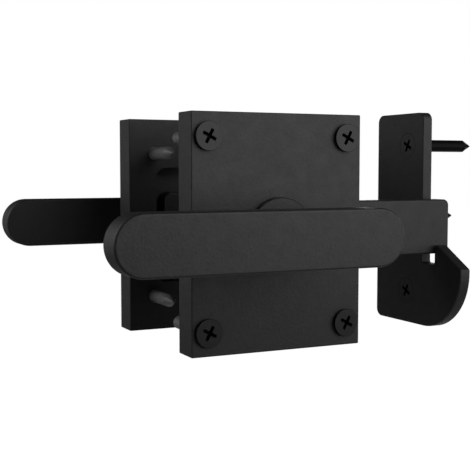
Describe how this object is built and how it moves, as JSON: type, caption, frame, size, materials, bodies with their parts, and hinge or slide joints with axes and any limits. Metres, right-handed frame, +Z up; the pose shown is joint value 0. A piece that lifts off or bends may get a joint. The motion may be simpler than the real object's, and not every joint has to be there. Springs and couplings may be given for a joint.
{
  "type": "barn door latch",
  "caption": "Two-sided barn door latch: flat levers on thick plates turn a square spindle whose swinging bar drops behind the lip of a slotted keeper, returned by a torsion spring.",
  "frame": {"origin": "where the spindle's axis meets the front face of the door, which is the back face of the front plate", "axes": "+X along the door towards the jamb and its keeper, +Y through the door from the front plate to the back plate, along the spindle, +Z up"},
  "size_m": [0.1973, 0.1661, 0.0979],
  "materials": {
    "powder_coat": "matt black powder coat with a fine grain",
    "black_screws": "satin black coated steel",
    "plain_steel": "plain drawn steel"
  },
  "bodies": {
    "door_side": {"front_plate": "powder_coat", "back_plate": "powder_coat", "front_bush": "powder_coat", "back_bush": "powder_coat", "front_plate_screws": "black_screws", "back_plate_screws": "black_screws", "keeper": "powder_coat", "keeper_screws": "black_screws", "return_spring": "plain_steel"},
    "lever_set": {"front_lever": "powder_coat", "back_lever": "powder_coat", "front_neck": "powder_coat", "back_neck": "powder_coat", "front_washer": "plain_steel", "back_washer": "plain_steel", "set_screws": "black_screws", "spindle": "plain_steel", "spindle_clips": "plain_steel", "latch_bar": "powder_coat", "stop_cam": "plain_steel", "spring_peg": "plain_steel"}
  },
  "joints": [
    {"name": "latch_lift", "type": "hinge", "parent": "door_side", "child": "lever_set", "pos_m": [0, 0, 0], "axis": [0, -1, 0], "range_deg": [0, 18], "stiffness_Nm_per_rad": 0.32, "springref_deg": -26.93, "deforming": ["return_spring"]}
  ]
}
